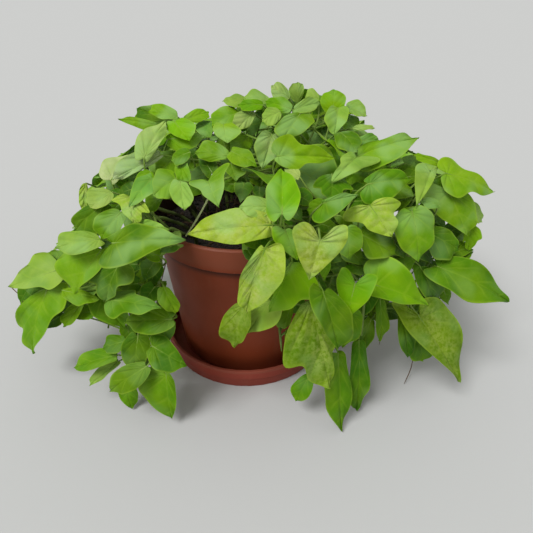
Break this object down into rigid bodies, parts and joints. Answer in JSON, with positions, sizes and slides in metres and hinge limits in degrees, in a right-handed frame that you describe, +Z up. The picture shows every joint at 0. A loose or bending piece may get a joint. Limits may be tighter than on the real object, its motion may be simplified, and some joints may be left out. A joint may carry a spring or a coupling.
{
  "type": "potted sweet potato vine",
  "caption": "Trailing vine with lime-green heart-shaped and lobed leaves, in a tapered pot with a rim band that stands on a drip saucer.",
  "frame": {"origin": "centre of the saucer's flat underside, on the axis of the pot", "axes": "+Z up along the pot's axis, -Y towards the side that the picture shows, +X to its right"},
  "size_m": [0.7776, 0.6532, 0.4259],
  "materials": {
    "saucer": "moulded terracotta-coloured plastic, satin, a little redder than the pot",
    "pot": "moulded terracotta-coloured plastic, satin, slightly dusty",
    "soil": null,
    "foliage": null
  },
  "bodies": {
    "root": {"saucer": "saucer", "pot": "pot", "soil": "soil", "vine_01": "foliage", "vine_02": "foliage", "vine_03": "foliage", "vine_04": "foliage", "vine_05": "foliage", "vine_06": "foliage", "vine_07": "foliage", "vine_08": "foliage", "vine_09": "foliage", "vine_10": "foliage", "vine_11": "foliage", "vine_12": "foliage", "vine_13": "foliage", "vine_14": "foliage", "vine_15": "foliage", "vine_16": "foliage", "vine_17": "foliage", "vine_18": "foliage", "vine_19": "foliage", "vine_20": "foliage", "vine_21": "foliage", "vine_22": "foliage", "vine_23": "foliage"}
  },
  "joints": []
}
